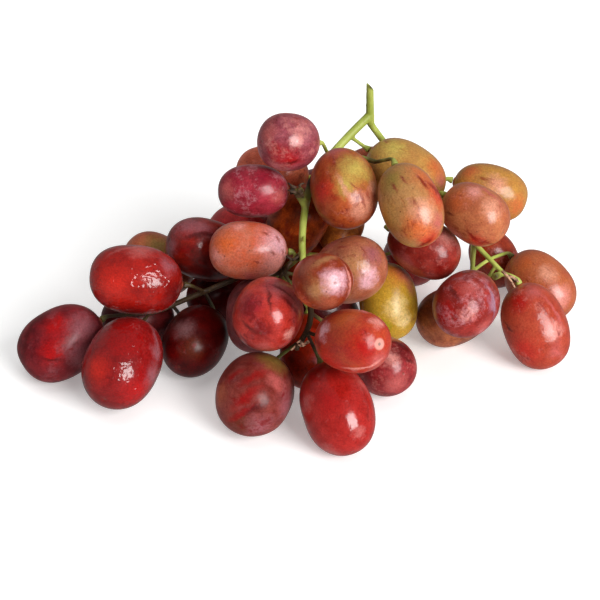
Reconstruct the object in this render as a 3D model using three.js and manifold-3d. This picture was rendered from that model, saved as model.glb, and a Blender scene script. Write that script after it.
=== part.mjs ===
// A bunch of oval red table grapes lying on a table: separate grapes round one branched green stalk.
// Millimetres, +Z up. The origin is on the table, under the middle of the bunch, and +Y points away from
// the viewer.
import * as THREE from 'three';
import { mergeVertices } from 'three/addons/utils/BufferGeometryUtils.js';
import Module from 'manifold-3d';

const wasm = await Module();
wasm.setup();

// Driving dimensions
const GRAPE_WIDTH = 22;
const GRAPE_LENGTH = 28.6;
const FULLNESS = 2.25; // the power of a grape's oval outline: 2 is an ellipse, more is plumper
const STEM_TAPER = 0.06; // how much slimmer a grape is towards its stem end, as a share of its width
const REST_SINK = 0.8; // how far a grape's underside gives where it lies on the table
const TOUCH_GAP = 0.4; // left between pieces that touch

// The stalk's thicknesses, as radii, and the swollen cap that ends each pedicel against its grape
const PEDUNCLE_RADIUS = 1.25;
const RACHIS_RADIUS = 1.6;
const RACHIS_TIP_RADIUS = 1;
const LATERAL_RADIUS = 1.25;
const LATERAL_TIP_RADIUS = 0.9;
const PEDICEL_RADIUS = 0.75;
const CAP_RADIUS = 1.5;
const CAP_LENGTH = 2.4;

// Facets
const GRAPE_SIDES = 14;
const GRAPE_RINGS = 8;
const BRANCH_SIDES = 8;
const BRANCH_STEP = 4; // length of a branch to each ring
const PEDICEL_SIDES = 6;
const PEDICEL_STEP = 2.4; // length of a pedicel to each ring

// The view that the seen grapes are placed by: a lens over the table, looking along +Y and down
const VIEW_ELEVATION = THREE.MathUtils.degToRad(35);
const VIEW_DISTANCE = 500;
const VIEW_MM_PER_PIXEL = 1 / 3; // at that distance
const VIEW_MIDDLE_PIXEL = 300;
const VIEW_TARGET = new THREE.Vector3(0, 0, 28);

const RIGHT = new THREE.Vector3(1, 0, 0);
const UP = new THREE.Vector3(0, 0, 1);
const VIEW_UP = new THREE.Vector3(0, Math.sin(VIEW_ELEVATION), Math.cos(VIEW_ELEVATION));
const TO_VIEWER = new THREE.Vector3(0, -Math.cos(VIEW_ELEVATION), Math.sin(VIEW_ELEVATION));
const EYE = VIEW_TARGET.clone().addScaledVector(TO_VIEWER, VIEW_DISTANCE);

// Skin colours
const CRIMSON = 0xa01f35;
const RED = 0xb02a25;
const DARK = 0x5f1a1c;
const BLUSH = 0xb9552f;
const AMBER = 0xb98a3a;
const STALK_GREEN = 0xa3b13a;

// The seen grapes. at: the pixel of the grape's middle, in a picture 600 pixels square. height: of its middle
// above the table, left out where it lies on the table. turn: where its blossom end points in the picture, in
// degrees, with 0 to the right and 90 up. lean: how far that end is tipped towards the viewer. size: times
// the driving dimensions. stretch: times the driving length again, for a grape that grew rounder or longer.
const SEEN = {
  left_end: { at: [64, 344], turn: 211, lean: 12, size: 1.12, stretch: 0.94, skin: DARK },
  left_front: { at: [122, 361], height: 15.5, turn: 248, lean: 40, size: 1.17, stretch: 0.98, skin: RED },
  left_top: { at: [136, 282], height: 33, turn: 174, lean: 8, size: 1.085, skin: RED },
  left_back: { at: [159, 264], height: 17, turn: 150, lean: 30, size: 0.97, skin: BLUSH },
  left_under: { at: [138, 319], turn: 180, lean: 20, size: 0.9, skin: DARK },
  left_inner: { at: [206, 251], height: 32, turn: 165, lean: 30, size: 1, skin: DARK },
  left_low: { at: [203, 341], turn: 240, lean: 44, size: 1, stretch: 0.95, skin: DARK },
  middle_blush: { at: [248, 250], height: 42, turn: 178, lean: 0, size: 0.91, skin: BLUSH },
  middle_round: { at: [268, 316], height: 33, turn: 250, lean: 60, size: 1.06, stretch: 0.86, skin: RED },
  middle_behind: { at: [252, 317], height: 19, turn: 272, lean: 10, size: 0.88, skin: CRIMSON },
  middle_shade: { at: [222, 297], turn: 180, lean: 30, size: 0.9, skin: DARK },
  front_left: { at: [256, 392], turn: 245, lean: 60, size: 1.165, stretch: 0.92, skin: DARK },
  front_right: { at: [337, 408], turn: 290, lean: 25, size: 1.07, stretch: 1.02, skin: RED },
  front_hidden: { at: [305, 350], turn: 270, lean: 20, size: 0.9, skin: DARK },
  front_scar: { at: [351, 337], height: 39, turn: 355, lean: 56, size: 0.93, stretch: 1.06, skin: RED },
  front_corner: { at: [382, 365], turn: 340, lean: 60, size: 0.94, skin: CRIMSON },
  pair_left: { at: [323, 283], height: 50.5, turn: 350, lean: 70, size: 0.84, stretch: 0.95, skin: BLUSH },
  pair_right: { at: [350, 270], height: 39, turn: 20, lean: 50, size: 1.03, stretch: 0.9, skin: BLUSH },
  pair_green: { at: [392, 299], height: 19, turn: 275, lean: 0, size: 0.94, skin: AMBER },
  deep_middle: { at: [298, 222], height: 39, turn: 60, lean: 30, size: 0.95, skin: DARK },
  deep_right: { at: [338, 226], height: 32, turn: 60, lean: -30, size: 0.7, skin: DARK },
  deep_low: { at: [305, 255], height: 19, turn: 90, lean: -20, size: 0.9, skin: DARK },
  top_round: { at: [290, 143], height: 73, turn: 182, lean: 30, size: 0.9, stretch: 0.8, skin: CRIMSON },
  top_left: { at: [253, 192], height: 56, turn: 180, lean: 0, size: 0.83, skin: CRIMSON },
  top_behind: { at: [273, 176], height: 47, turn: 172, lean: -15, size: 0.92, skin: DARK },
  top_blush: { at: [345, 186], height: 61, turn: 280, lean: 35, size: 1.04, stretch: 0.97, skin: BLUSH },
  top_green: { at: [409, 205], height: 61, turn: 290, lean: 15, size: 0.93, stretch: 1.07, skin: AMBER },
  top_amber: { at: [405, 174], height: 56, turn: 325, lean: 10, size: 1.02, skin: AMBER },
  right_crimson: { at: [424, 250], height: 37, turn: 330, lean: 15, size: 0.91, skin: CRIMSON },
  right_blush: { at: [475, 214], height: 53, turn: 325, lean: 25, size: 0.91, stretch: 0.93, skin: BLUSH },
  right_amber: { at: [490, 192], height: 47, turn: 343, lean: 0, size: 0.9, stretch: 1.02, skin: AMBER },
  right_behind: { at: [498, 261], turn: 300, lean: -20, size: 0.8, skin: CRIMSON },
  right_far: { at: [538, 284], turn: 312, lean: 20, size: 1.01, stretch: 0.98, skin: BLUSH },
  right_end: { at: [535, 326], turn: 292, lean: -8, size: 1.02, stretch: 1.04, skin: RED },
  right_round: { at: [466, 303], height: 27, turn: 220, lean: 55, size: 1, stretch: 0.93, skin: CRIMSON },
  right_low: { at: [450, 316], turn: 200, lean: 30, size: 0.98, skin: DARK },
};

// The grapes on the far side and underneath, by the place of their middle
const UNSEEN = {
  back_top: { middle: [9, 59, 33], size: 0.95, skin: DARK },
  back_right: { middle: [41, 50, 12], size: 1, skin: RED },
  back_inner: { middle: [9, 16, 11.5], size: 0.92, skin: DARK },
  back_left: { middle: [-20, 50, 22], size: 1, skin: RED },
  back_high: { middle: [21, 52, 43], size: 0.85, skin: BLUSH },
};

// The place that a pixel of the picture shows, at a given height above the table
function seenAt([x, y], height) {
  const ray = TO_VIEWER.clone().multiplyScalar(-VIEW_DISTANCE / VIEW_MM_PER_PIXEL);
  ray.addScaledVector(RIGHT, x - VIEW_MIDDLE_PIXEL);
  ray.addScaledVector(VIEW_UP, VIEW_MIDDLE_PIXEL - y);
  return EYE.clone().addScaledVector(ray, (height - EYE.z) / ray.z);
}

// The direction of a blossom end that turns in the picture and leans towards the viewer
function seenAxis(turn, lean) {
  const [angle, tip] = [turn, lean].map(THREE.MathUtils.degToRad);
  const axis = RIGHT.clone().multiplyScalar(Math.cos(angle) * Math.cos(tip));
  axis.addScaledVector(VIEW_UP, Math.sin(angle) * Math.cos(tip));
  return axis.addScaledVector(TO_VIEWER, Math.sin(tip));
}

// The branches of the stalk: the places that each passes, the branch it grows from, and its radius at both
// ends. The peduncle is the bare part, from the cut end to the fork.
const place = (x, y, z) => new THREE.Vector3(x, y, z);
const BRANCHES = {
  peduncle: {
    bare: true,
    radii: [PEDUNCLE_RADIUS, RACHIS_RADIUS],
    path: [
      seenAt([370, 83], 84.5),
      seenAt([372, 102], 77),
      seenAt([371, 116], 71),
      seenAt([370, 123], 68.5),
    ],
  },
  rachis: {
    from: 'peduncle',
    radii: [RACHIS_RADIUS, RACHIS_TIP_RADIUS],
    path: [
      seenAt([370.5, 116.5], 70.6),
      seenAt([361, 124], 69),
      seenAt([348, 131.5], 67),
      seenAt([337, 137], 65.5),
      seenAt([327, 140], 64),
      seenAt([319, 158], 60),
      seenAt([310, 188], 56.5),
      seenAt([300, 203], 55.5),
      seenAt([290, 255], 44),
      seenAt([290, 275], 38),
      seenAt([305, 310], 31),
      seenAt([306, 335], 29),
      seenAt([296, 349], 28),
    ],
  },
  right: {
    from: 'peduncle',
    radii: [LATERAL_RADIUS, LATERAL_TIP_RADIUS],
    path: [
      seenAt([371.5, 118], 70),
      seenAt([374, 129], 66),
      seenAt([377, 140], 61.5),
      place(30, 50, 50),
      place(42, 44, 44),
      place(49, 32, 41),
      place(58, 21, 41),
      seenAt([489, 246], 38),
      seenAt([503, 273], 30),
    ],
  },
  twig: {
    from: 'rachis',
    radii: [LATERAL_TIP_RADIUS, LATERAL_TIP_RADIUS],
    path: [
      seenAt([325, 146], 62.8),
      seenAt([350, 153], 61.5),
      seenAt([368, 158], 63.2),
      seenAt([376, 162], 64.5),
    ],
  },
  left: {
    from: 'rachis',
    radii: [LATERAL_RADIUS, LATERAL_TIP_RADIUS],
    path: [
      seenAt([291, 256], 44),
      seenAt([272, 262], 36),
      seenAt([240, 277], 31),
      seenAt([214, 287], 28),
      seenAt([187, 296], 25),
      seenAt([170, 305], 22),
      seenAt([150, 313], 19.6),
    ],
  },
  back: {
    from: 'rachis',
    radii: [LATERAL_RADIUS, LATERAL_TIP_RADIUS],
    path: [
      place(3, 46, 56),
      place(0, 45, 44),
      place(-4, 45, 33),
      place(-10, 39, 26),
    ],
  },
  drop: {
    from: 'right',
    radii: [LATERAL_TIP_RADIUS, LATERAL_TIP_RADIUS],
    path: [
      seenAt([475, 241], 39),
      seenAt([475, 256], 30),
      seenAt([472, 272], 22),
    ],
  },
  low: {
    from: 'right',
    radii: [LATERAL_TIP_RADIUS, LATERAL_TIP_RADIUS],
    path: [
      place(46, 38, 42),
      place(40, 33, 33),
      place(37, 31, 24),
    ],
  },
};

// Bare ends that a lost grape or twig left behind, each from the nearest place on the stalk to its tip
const STUBS = [
  { tip: seenAt([298.5, 191], 60.5), radii: [1.5, 1.8] },
  { tip: seenAt([304, 236], 49), radii: [0.7, 0.6] },
  { tip: seenAt([494, 277], 31), radii: [1.1, 1.4] },
  { tip: seenAt([517, 281], 30), radii: [0.8, 1] },
];

// How far a grape reaches from its middle along a direction
const REACH_POWER = FULLNESS / (FULLNESS - 1);
function reach(grape, direction) {
  const along = Math.min(1, Math.abs(direction.dot(grape.axis)));
  const across = Math.sqrt(1 - along ** 2);
  const sum = (grape.width * across) ** REACH_POWER + (grape.length * along) ** REACH_POWER;
  return sum ** (1 / REACH_POWER) / 2;
}

// The point of a grape that lies furthest along a direction, from its middle
function furthest(grape, direction) {
  const along = direction.dot(grape.axis);
  const across = direction.clone().addScaledVector(grape.axis, -along);
  const whole = 2 * reach(grape, direction);
  const part = (size, share) => (size / 2) * ((size * share) / whole) ** (REACH_POWER - 1);
  const point = across.clone().setLength(part(grape.width, across.length()));
  return point.addScaledVector(grape.axis, Math.sign(along) * part(grape.length, Math.abs(along)));
}

// The direction between two grapes in which they stand furthest apart, and by how much they are too close
const CONTACT_STEPS = 8;
function contact(a, b) {
  const between = b.middle.clone().sub(a.middle);
  const direction = between.clone().normalize();
  for (let step = 0; step < CONTACT_STEPS; step++) {
    const apart = between.clone().sub(furthest(a, direction)).sub(furthest(b, direction));
    apart.addScaledVector(direction, -apart.dot(direction));
    direction.addScaledVector(apart, 1 / between.length()).normalize();
  }
  const overlap = reach(a, direction) + reach(b, direction) + TOUCH_GAP - between.dot(direction);
  return { direction, overlap };
}

// The height at which a grape lies on the table
const lyingHeight = (grape) => reach(grape, UP) - REST_SINK;

// Pushes grapes that press into each other apart, the one further from the viewer most, while each is drawn
// back to where it is meant to be
const SETTLE_ROUNDS = 500;
const HOME_ROUNDS = 350;
const HOME_PULL = 0.05;
const NEAR_SHARE = 0.3;
function settle(grapes) {
  const homes = grapes.map((grape) => grape.middle.clone());
  for (let round = 0; round < SETTLE_ROUNDS; round++) {
    grapes.forEach((a, i) => {
      for (const b of grapes.slice(i + 1)) {
        const { direction, overlap } = contact(a, b);
        if (overlap <= 0) continue;
        const share = direction.dot(TO_VIEWER) < 0 ? NEAR_SHARE : 1 - NEAR_SHARE;
        a.middle.addScaledVector(direction, -overlap * share);
        b.middle.addScaledVector(direction, overlap * (1 - share));
      }
    });
    grapes.forEach((grape, i) => {
      if (round < HOME_ROUNDS) grape.middle.lerp(homes[i], HOME_PULL);
      if (grape.lies || grape.middle.z < lyingHeight(grape)) grape.middle.z = lyingHeight(grape);
    });
  }
}

// Every grape: its sizes, the place of its middle and the direction of its blossom end
function placeGrapes() {
  const curves = Object.values(BRANCHES).map(({ path }) => new THREE.CatmullRomCurve3(path));
  const stalk = curves.flatMap((curve) => curve.getSpacedPoints(20));
  const grapes = [];
  for (const [name, { at, height, turn, lean, size, stretch = 1, skin }] of Object.entries(SEEN)) {
    const grape = { name, skin, width: GRAPE_WIDTH * size, length: GRAPE_LENGTH * size * stretch };
    grape.axis = seenAxis(turn, lean);
    grape.lies = height === undefined;
    grape.middle = seenAt(at, height ?? lyingHeight(grape));
    grapes.push(grape);
  }
  for (const [name, { middle, size, skin }] of Object.entries(UNSEEN)) {
    const grape = { name, skin, width: GRAPE_WIDTH * size, length: GRAPE_LENGTH * size };
    grape.middle = place(...middle);
    grape.axis = grape.middle.clone().sub(nearest(stalk, grape.middle)).normalize();
    grapes.push(grape);
  }
  settle(grapes);
  return grapes;
}

// The nearest of some points to a place
function nearest(points, to) {
  return points.reduce((best, point) => (point.distanceTo(to) < best.distanceTo(to) ? point : best));
}

// How far a place lies outside a grape's skin, and the way straight out
function outside(grape, point) {
  const offset = point.clone().sub(grape.middle);
  const along = offset.dot(grape.axis);
  const across = offset.addScaledVector(grape.axis, -along);
  const shareAlong = (2 * Math.abs(along)) / grape.length;
  const shareAcross = (2 * across.length()) / grape.width;
  const share = (shareAlong ** FULLNESS + shareAcross ** FULLNESS) ** (1 / FULLNESS);
  const steepness = (part, size) => ((part / share) ** (FULLNESS - 1) * 2) / size;
  const way = across.setLength(steepness(shareAcross, grape.width));
  way.addScaledVector(grape.axis, Math.sign(along) * steepness(shareAlong, grape.length));
  const distance = (share - 1) / way.length();
  return { distance, way: way.normalize() };
}

// Bends a row of points clear of the grapes by a given distance, and keeps it smooth between its fixed ends
const BEND_ROUNDS = 120;
const SMOOTH_ROUNDS = 90;
function bendClear(points, grapes, clearance) {
  for (let round = 0; round < BEND_ROUNDS; round++) {
    for (let i = 1; i < points.length - 1; i++) {
      if (round < SMOOTH_ROUNDS) points[i].lerp(points[i - 1].clone().lerp(points[i + 1], 0.5), 0.3);
      for (const grape of grapes) {
        const { distance, way } = outside(grape, points[i]);
        if (distance < clearance) points[i].addScaledVector(way, clearance - distance);
      }
    }
  }
}

// Every branch as a curve that is clear of the grapes, with its radius at each share of its length
function growBranches(grapes) {
  const grown = {};
  for (const [name, { from, bare, radii, path }] of Object.entries(BRANCHES)) {
    const curve = new THREE.CatmullRomCurve3(path);
    const points = curve.getSpacedPoints(Math.ceil(curve.getLength() / BRANCH_STEP));
    if (from) points[0] = nearest(inside([grown[from]]), points[0]).clone();
    bendClear(points, grapes, radii[0] + TOUCH_GAP);
    const radius = (share) => THREE.MathUtils.lerp(radii[0], radii[1], share);
    grown[name] = { bare, points, radius, sides: BRANCH_SIDES, steps: points.length - 1 };
  }
  return Object.values(grown);
}

// The points of some branches, without the ends that they grow from
const inside = (branches) => branches.flatMap(({ points }) => points.slice(1));

// A pedicel's way from a place on the stalk to the stem end of a grape, which it meets straight on
function pedicelPoints(start, grape, grapes) {
  const tip = grape.middle.clone().addScaledVector(grape.axis, -grape.length / 2 - TOUCH_GAP);
  const cap = tip.clone().addScaledVector(grape.axis, -CAP_LENGTH);
  const approach = cap.clone().addScaledVector(grape.axis, -0.4 * start.distanceTo(cap));
  const curve = new THREE.CubicBezierCurve3(start, start.clone().lerp(cap, 0.3), approach, cap);
  const points = curve.getSpacedPoints(Math.max(4, Math.ceil(start.distanceTo(cap) / PEDICEL_STEP)));
  bendClear(points, grapes, PEDICEL_RADIUS + TOUCH_GAP);
  return [...points, tip];
}

// How much room is left between a stem and the grapes, the one that it carries left out
function room(stem, grapes, carried) {
  const curve = new THREE.CatmullRomCurve3(stem.points);
  const others = grapes.filter((grape) => grape !== carried);
  const count = stem.steps * 3;
  const rooms = curve.getSpacedPoints(count).map((point, i) => (
    Math.min(...others.map((grape) => outside(grape, point).distance)) - stem.radius(i / count)
  ));
  return Math.min(...rooms);
}

// A pedicel to each grape, from the nearest place on the stalk that leaves it room
const MIN_ROOM = 0.3;
const PEDICEL_TRIES = 60;
function growPedicels(grapes, branches) {
  const starts = inside(branches.filter(({ bare }) => !bare));
  return grapes.map((grape) => {
    const foot = grape.middle.clone().addScaledVector(grape.axis, -grape.length / 2 - 2 * CAP_LENGTH);
    const byDistance = [...starts].sort((a, b) => a.distanceTo(foot) - b.distanceTo(foot));
    let best = null;
    for (const start of byDistance.slice(0, PEDICEL_TRIES)) {
      const points = pedicelPoints(start.clone(), grape, grapes);
      const length = new THREE.CatmullRomCurve3(points).getLength();
      const radius = (share) => {
        const swelling = Math.max(0, 1 - ((1 - share) * length) / CAP_LENGTH);
        return THREE.MathUtils.lerp(PEDICEL_RADIUS, CAP_RADIUS, swelling);
      };
      const stem = { points, radius, sides: PEDICEL_SIDES, steps: Math.ceil(length / PEDICEL_STEP) };
      stem.room = room(stem, grapes, grape);
      if (!best || stem.room > best.room) best = stem;
      if (stem.room >= MIN_ROOM) break;
    }
    if (best.room < MIN_ROOM) throw new Error(`no room for the pedicel of ${grape.name}`);
    return best;
  });
}

// A bare end for each stub
function growStubs(branches) {
  const starts = inside(branches);
  return STUBS.map(({ tip, radii }) => {
    const start = nearest(starts, tip);
    const points = [start, start.clone().lerp(tip, 0.5), tip];
    const radius = (share) => THREE.MathUtils.lerp(radii[0], radii[1], share);
    return { points, radius, sides: PEDICEL_SIDES, steps: 2 };
  });
}

// A geometry as a solid to join and cut
function toSolid(geometry) {
  geometry.deleteAttribute('normal');
  geometry.deleteAttribute('uv');
  const merged = mergeVertices(geometry);
  const mesh = new wasm.Mesh({
    numProp: 3,
    vertProperties: new Float32Array(merged.attributes.position.array),
    triVerts: new Uint32Array(merged.index.array),
  });
  return new wasm.Manifold(mesh);
}

// A solid as a geometry again
function toGeometry(solid) {
  const { vertProperties, triVerts } = solid.getMesh();
  const geometry = new THREE.BufferGeometry();
  geometry.setAttribute('position', new THREE.BufferAttribute(vertProperties, 3));
  geometry.setIndex(new THREE.BufferAttribute(triVerts, 1));
  geometry.computeVertexNormals();
  return geometry;
}

// Gives every vertex of a geometry a new place
function reshape(geometry, newPlace) {
  const positions = geometry.attributes.position;
  for (let i = 0; i < positions.count; i++) {
    const { x, y, z } = newPlace(new THREE.Vector3().fromBufferAttribute(positions, i));
    positions.setXYZ(i, x, y, z);
  }
  return geometry;
}

// A stem: a closed cylinder bent along a curve, with its own radius at each share of its length
function stemSolid({ points, radius, sides, steps }) {
  const curve = new THREE.CatmullRomCurve3(points);
  const { normals, binormals } = curve.computeFrenetFrames(steps, false);
  const bent = reshape(new THREE.CylinderGeometry(1, 1, 1, sides, steps), ({ x, y, z }) => {
    const share = y + 0.5;
    const ring = Math.round(share * steps);
    const middle = curve.getPointAt(share);
    middle.addScaledVector(binormals[ring], x * radius(share));
    return middle.addScaledVector(normals[ring], z * radius(share));
  });
  return toSolid(bent);
}

// A grape: a plump oval, slimmer towards its stem end, and flat where it lies on the table
function grapeSolid({ width, length, axis, middle }) {
  const oval = reshape(new THREE.SphereGeometry(1, GRAPE_SIDES, GRAPE_RINGS), ({ x, y, z }) => {
    const slimming = 1 - (STEM_TAPER * (1 - y)) / 2;
    const out = ((1 - y ** 2) ** (1 / FULLNESS) * width * slimming) / 2;
    const along = (Math.sign(y) * Math.abs(y) ** (2 / FULLNESS) * length) / 2;
    const ring = place(x, 0, z).setLength(out);
    return place(ring.x, along, ring.z);
  });
  oval.applyQuaternion(new THREE.Quaternion().setFromUnitVectors(new THREE.Vector3(0, 1, 0), axis));
  oval.translate(middle.x, middle.y, middle.z);
  return toSolid(oval).trimByPlane([0, 0, 1], 0);
}

// The bunch, moved so that its origin is under its middle
const grapes = placeGrapes();
const branches = growBranches(grapes);
const stems = [...branches, ...growPedicels(grapes, branches), ...growStubs(branches)];
const joined = stems.map(stemSolid).reduce((whole, stem) => whole.add(stem));

// The stalk's outer skin alone: a hollow shut in between stems that cross is filled
const skins = joined.decompose();
const stalkSolid = skins.reduce((whole, skin) => (skin.volume() > whole.volume() ? skin : whole));

const bunch = new THREE.Group();
function addPiece(name, solid, color, roughness) {
  const skin = new THREE.MeshStandardMaterial({ color, roughness, metalness: 0 });
  const piece = new THREE.Mesh(toGeometry(solid), skin);
  piece.name = name;
  bunch.add(piece);
}
addPiece('stalk', stalkSolid, STALK_GREEN, 0.6);
grapes.forEach((grape) => addPiece(`grape_${grape.name}`, grapeSolid(grape), grape.skin, 0.35));

const middle = new THREE.Box3().setFromObject(bunch).getCenter(new THREE.Vector3());
bunch.children.forEach((piece) => piece.position.set(-middle.x, -middle.y, 0));

export default bunch;
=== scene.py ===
import math

import bpy
from mathutils import Matrix, Vector, noise
from mathutils.kdtree import KDTree


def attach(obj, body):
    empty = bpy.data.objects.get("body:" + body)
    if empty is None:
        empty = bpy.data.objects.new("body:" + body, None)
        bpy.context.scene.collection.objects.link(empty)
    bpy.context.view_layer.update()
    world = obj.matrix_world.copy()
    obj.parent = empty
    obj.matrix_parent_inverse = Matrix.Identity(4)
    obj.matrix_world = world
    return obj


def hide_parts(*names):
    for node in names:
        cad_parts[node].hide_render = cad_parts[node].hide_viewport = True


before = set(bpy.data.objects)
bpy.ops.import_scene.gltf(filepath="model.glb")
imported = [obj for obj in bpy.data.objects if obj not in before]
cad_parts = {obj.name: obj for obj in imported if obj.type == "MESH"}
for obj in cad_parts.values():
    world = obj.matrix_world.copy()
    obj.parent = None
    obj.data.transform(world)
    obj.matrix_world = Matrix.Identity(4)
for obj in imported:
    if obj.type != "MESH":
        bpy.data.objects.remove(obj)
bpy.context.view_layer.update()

MM = 0.001

# Where the picture was taken from: over the table, looking along +Y and down at the bunch's middle
VIEW_TARGET = Vector((-1.71, -10.7, 28)) * MM
VIEW_ELEVATION = math.radians(35)
VIEW_DISTANCE = 500 * MM
PICTURE_SIDE = 600
FOCAL_PIXELS = 1500
SENSOR_WIDTH = 36

TO_VIEWER = Vector((0, -math.cos(VIEW_ELEVATION), math.sin(VIEW_ELEVATION)))
VIEW_UP = Vector((0, math.sin(VIEW_ELEVATION), math.cos(VIEW_ELEVATION)))
VIEW_RIGHT = Vector((1, 0, 0))
EYE = VIEW_TARGET + TO_VIEWER * VIEW_DISTANCE

# Colours of the marks on the skins, some of them also used for painted highlights and painted rim reflections
HUES = {
    "ruby": "#a00a0a",
    "blood": "#860404",
    "cherry": "#7e1024",
    "deep_ruby": "#6e0707",
    "scarlet": "#b82318",
    "plum": "#4a0f10",
    "rust": "#b4562c",
    "orange": "#c65a26",
    "honey": "#c89040",
    "gold": "#b3a04c",
    "olive": "#8a7232",
    "straw": "#e3c88a",
    "sand": "#a8744a",
    "leaf": "#9a8e22",
    "tan": "#a5573f",
    "blush_pale": "#c98a70",
    "rust_dark": "#5c2412",
    "pink": "#d28a80",
    "rose": "#ad5450",
    "lilac": "#cf9ea6",
    "grey_lilac": "#8f7286",
    "mauve": "#8c4f55",
    "grey_mauve": "#7a5354",
    "fleck": "#7e3226",
    "scar_brown": "#5a3420",
    "scar_grey": "#86665c",
    "shell": "#cf968a",
}


def linear(hex_colour):
    """An sRGB hex colour as linear red, green, blue and alpha."""
    parts = [int(hex_colour[i : i + 2], 16) / 255 for i in (1, 3, 5)]
    return [p / 12.92 if p <= 0.04045 else ((p + 0.055) / 1.055) ** 2.4 for p in parts] + [1]


def skin(
    base, mottle, bloom=0.2, haze="mauve", specks=0.1, strokes=0.2, wet=0, patches_and_highlights=(), smears_and_rims=(), shine=0.55,
):
    """What one grape's skin looks like.

    base is its main colour and mottle what that turns to in soft clouds. bloom, from 0 to 1, is how much
    of it the waxy bloom covers, and haze that bloom's hue. specks and strokes, from 0 to 1, are how many
    dark dots and dark brush-like marks it has. wet, from 0 to 1, is how much water breaks up its shine.
    The patch list holds its patches of other hues, each with the pixel of its middle, its radius in pixels
    and, where its edge is sharper than most, how soft that is from 0 to 1; some pale ones are painted
    highlights. The list of long marks holds each one's hue, the pixels of its two ends and its width in
    pixels; some pale ones along its edges are painted rim reflections. shine, from 0 to 1, is how clear
    its highlights are where no bloom dulls them.
    """
    return {
        "base": base,
        "mottle": mottle,
        "bloom": bloom,
        "haze": haze,
        "specks": specks,
        "strokes": strokes,
        "wet": wet,
        "patches_and_highlights": patches_and_highlights,
        "smears_and_rims": smears_and_rims,
        "shine": shine,
    }


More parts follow.
